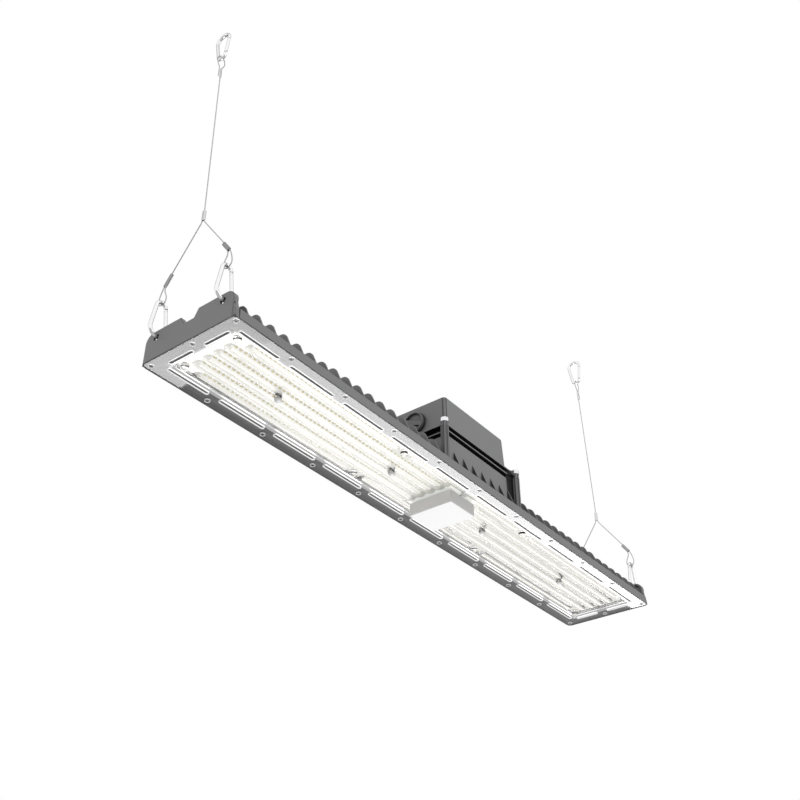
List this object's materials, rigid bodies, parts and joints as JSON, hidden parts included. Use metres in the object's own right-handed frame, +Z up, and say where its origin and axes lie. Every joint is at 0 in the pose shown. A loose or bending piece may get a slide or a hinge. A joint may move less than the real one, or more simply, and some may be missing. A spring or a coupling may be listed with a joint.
{
  "type": "linear high bay light",
  "caption": "Long suspended linear light with a finned cast housing, clear lens cover, top driver box, sensor box below and two wire yokes ending in snap hooks.",
  "frame": {"origin": "under the middle of the lamp, level with the underside of the sensor box, the lowest point of the lamp without its suspension wires", "axes": "+X along the lamp, +Y across it, +Z up as it hangs"},
  "size_m": [1.2384, 0.189, 0.6923],
  "materials": {
    "housing_paint": "cast, fine satin dark grey powder coat",
    "steel": "zinc plated",
    "bright_steel": "polished",
    "black_screw": "black oxide",
    "silicone": "matt",
    "clear_cover": "clear moulded polycarbonate",
    "board_white": "white solder mask",
    "white_plastic": "fine satin",
    "board_green": "green solder mask",
    "dark_plastic": "satin",
    "supply_case": "satin",
    "terminal_plastic": "gloss",
    "wire_steel": "galvanised wire rope",
    "sleeve_alloy": "pressed",
    "chrome_steel": "bright zinc"
  },
  "bodies": {
    "lamp": {"heat_sink": "housing_paint", "end_plate_left": "housing_paint", "end_plate_right": "housing_paint", "end_plate_screws": "steel", "cover_gasket": "silicone", "lens_cover": "clear_cover", "led_board_left": "board_white", "led_board_right": "board_white", "board_screws": "steel", "cover_screws": "black_screw", "cover_caps": "steel", "sensor_case": "white_plastic", "sensor_board": "board_green", "driver_tray": "housing_paint", "post_screws": "bright_steel", "lid_gasket": "silicone", "driver_lid": "housing_paint", "entry_cap": "dark_plastic", "entry_seal": "silicone", "power_supply": "supply_case", "terminal_block": "terminal_plastic", "left_back_hook": "chrome_steel", "left_back_leg_wire": "wire_steel", "left_back_leg_sleeve": "sleeve_alloy", "left_front_hook": "chrome_steel", "left_front_leg_wire": "wire_steel", "left_front_leg_sleeve": "sleeve_alloy", "left_top_hook": "chrome_steel", "left_main_wire": "wire_steel", "left_top_sleeve": "sleeve_alloy", "left_yoke_sleeve": "sleeve_alloy", "right_back_hook": "chrome_steel", "right_back_leg_wire": "wire_steel", "right_back_leg_sleeve": "sleeve_alloy", "right_front_hook": "chrome_steel", "right_front_leg_wire": "wire_steel", "right_front_leg_sleeve": "sleeve_alloy", "right_top_hook": "chrome_steel", "right_main_wire": "wire_steel", "right_top_sleeve": "sleeve_alloy", "right_yoke_sleeve": "sleeve_alloy", "gate_rivets": "steel"},
    "left_back_gate": {"left_back_gate": "chrome_steel"},
    "left_front_gate": {"left_front_gate": "chrome_steel"},
    "left_top_gate": {"left_top_gate": "chrome_steel"},
    "right_back_gate": {"right_back_gate": "chrome_steel"},
    "right_front_gate": {"right_front_gate": "chrome_steel"},
    "right_top_gate": {"right_top_gate": "chrome_steel"}
  },
  "joints": [
    {"name": "left_back_gate_hinge", "type": "hinge", "parent": "lamp", "child": "left_back_gate", "pos_m": [-0.59319, -0.067, 0.10817], "axis": [0, 1, 0], "range_deg": [0, 24], "stiffness_Nm_per_rad": 0.03, "springref_deg": -5.73},
    {"name": "left_front_gate_hinge", "type": "hinge", "parent": "lamp", "child": "left_front_gate", "pos_m": [-0.59319, 0.067, 0.10817], "axis": [0, 1, 0], "range_deg": [0, 24], "stiffness_Nm_per_rad": 0.03, "springref_deg": -5.73},
    {"name": "left_top_gate_hinge", "type": "hinge", "parent": "lamp", "child": "left_top_gate", "pos_m": [-0.6032, 0.00298, 0.63812], "axis": [-1, 0, 0], "range_deg": [0, 24], "stiffness_Nm_per_rad": 0.03, "springref_deg": -5.73},
    {"name": "right_back_gate_hinge", "type": "hinge", "parent": "lamp", "child": "right_back_gate", "pos_m": [0.59319, -0.067, 0.10817], "axis": [0, -1, 0], "range_deg": [0, 24], "stiffness_Nm_per_rad": 0.03, "springref_deg": -5.73},
    {"name": "right_front_gate_hinge", "type": "hinge", "parent": "lamp", "child": "right_front_gate", "pos_m": [0.59319, 0.067, 0.10817], "axis": [0, -1, 0], "range_deg": [0, 24], "stiffness_Nm_per_rad": 0.03, "springref_deg": -5.73},
    {"name": "right_top_gate_hinge", "type": "hinge", "parent": "lamp", "child": "right_top_gate", "pos_m": [0.6032, 0.00298, 0.63812], "axis": [-1, 0, 0], "range_deg": [0, 24], "stiffness_Nm_per_rad": 0.03, "springref_deg": -5.73}
  ]
}
